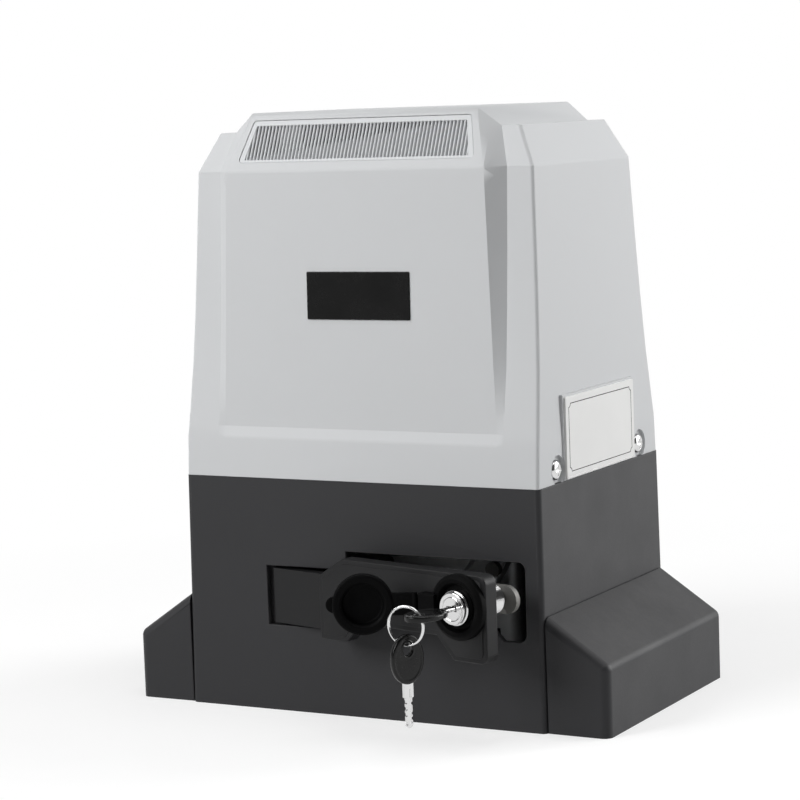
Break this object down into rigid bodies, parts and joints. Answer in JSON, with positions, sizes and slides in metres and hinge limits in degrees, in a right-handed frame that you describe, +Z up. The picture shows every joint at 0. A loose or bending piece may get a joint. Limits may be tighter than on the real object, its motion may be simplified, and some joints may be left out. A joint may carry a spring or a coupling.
{
  "type": "sliding gate motor",
  "caption": "Electric sliding gate opener: worm gearbox and motor in a black moulded base under a silver faceted hood, with a keyed manual release lever.",
  "frame": {"origin": "centre of the four foundation bolt slots, on the plane the base stands on", "axes": "+Z up; -Y is the front with the release lever; +X is right seen from the front"},
  "size_m": [0.2932, 0.2794, 0.3304],
  "materials": {
    "housing_black": "moulded charcoal plastic, satin",
    "hood_silver": "silver grey, satin",
    "lever_black": "moulded black plastic, satin",
    "rubber_black": "soft black rubber",
    "key_black": "glossy black plastic",
    "chrome": "polished chrome",
    "zinc": "zinc plated",
    "steel": "turned steel",
    "bronze": "bronze",
    "cast_aluminium": "as cast",
    "winding": "enamelled copper",
    "board": "green laminate",
    "capacitor_white": "white plastic can",
    "badge_black": "bare black plate",
    "plate_white": "bare white plate",
    "vent_silver": "silver grey, satin"
  },
  "bodies": {
    "chassis": {"lower_housing": "housing_black", "foot_cover_left": "housing_black", "foot_cover_right": "housing_black", "hood": "hood_silver", "hood_screw_1": "chrome", "hood_screw_2": "chrome", "hood_screw_3": "chrome", "hood_screw_4": "chrome", "front_vent_grille": "vent_silver", "rear_vent_grille": "vent_silver", "badge": "badge_black", "rating_plate": "plate_white", "release_pin": "steel", "lock_catch": "zinc", "gearbox_housing": "cast_aluminium", "gearbox_cover": "cast_aluminium", "cover_bolts": "zinc", "front_bearing": "steel", "rear_bearing": "steel", "oil_seal": "rubber_black", "worm_lower_bearing": "steel", "worm_upper_bearing": "steel", "rotor_top_bearing": "steel", "motor_lower_bell": "cast_aluminium", "motor_casing": "cast_aluminium", "motor_upper_bell": "cast_aluminium", "stator_core": "steel", "stator_windings": "winding", "motor_tie_bolts": "zinc", "control_bracket": "zinc", "capacitor": "capacitor_white", "capacitor_clamp": "zinc", "control_board": "board", "limit_switch_box": "lever_black", "cable_gland": "lever_black"},
    "output": {"worm_wheel": "bronze", "output_shaft": "steel", "output_pinion": "steel", "pinion_washer": "zinc", "pinion_bolt": "zinc"},
    "rotor": {"rotor_shaft": "steel", "rotor_core": "steel"},
    "lever": {"release_lever": "lever_black", "lock_body": "chrome", "lock_nut": "lever_black", "lock_collar": "rubber_black"},
    "plug": {"lock_plug": "chrome", "lock_cam": "zinc", "cam_screw": "zinc", "inserted_key_bow": "key_black", "inserted_key_blade": "chrome"},
    "dust_cap": {"dust_cap": "rubber_black"},
    "key_ring": {"key_ring": "chrome"},
    "spare_key": {"spare_key_bow": "key_black", "spare_key_blade": "chrome"},
    "whisker": {"limit_whisker": "steel"}
  },
  "joints": [
    {"name": "rotor_spin", "type": "hinge", "parent": "chassis", "child": "rotor", "pos_m": [-0.02, 0.012, 0.095], "axis": [0, 0, 1], "continuous": true},
    {"name": "output_spin", "type": "hinge", "parent": "chassis", "child": "output", "pos_m": [0.02, 0.012, 0.095], "axis": [0, 1, 0], "continuous": true},
    {"name": "release_lever_swing", "type": "hinge", "parent": "chassis", "child": "lever", "pos_m": [-0.05, -0.072, 0.0645], "axis": [0, 0, -1], "range_deg": [-5.5, 75]},
    {"name": "key_turn", "type": "hinge", "parent": "lever", "child": "plug", "pos_m": [0.08372, -0.12117, 0.0745], "axis": [-0.2334, -0.9724, 0], "range_deg": [0, 90]},
    {"name": "dust_cap_swing", "type": "hinge", "parent": "lever", "child": "dust_cap", "pos_m": [0.05682, -0.1214, 0.0745], "axis": [0, 0, 1], "range_deg": [-20, 20]},
    {"name": "key_ring_swing", "type": "hinge", "parent": "plug", "child": "key_ring", "pos_m": [0.07624, -0.15229, 0.0745], "axis": [0, 0, 1], "range_deg": [-15, 15]},
    {"name": "spare_key_swing", "type": "hinge", "parent": "key_ring", "child": "spare_key", "pos_m": [0.06804, -0.15229, 0.05825], "axis": [-0.8829, 0.4695, 0], "range_deg": [-20, 20]},
    {"name": "limit_whisker_swing", "type": "hinge", "parent": "chassis", "child": "whisker", "pos_m": [0.025, 0.088, 0.1628], "axis": [0, 1, 0], "range_deg": [-30, 30], "stiffness_Nm_per_rad": 0.05}
  ],
  "couplings": [
    {"joint": "output_spin", "follows": "rotor_spin", "ratio": -0.033333}
  ]
}
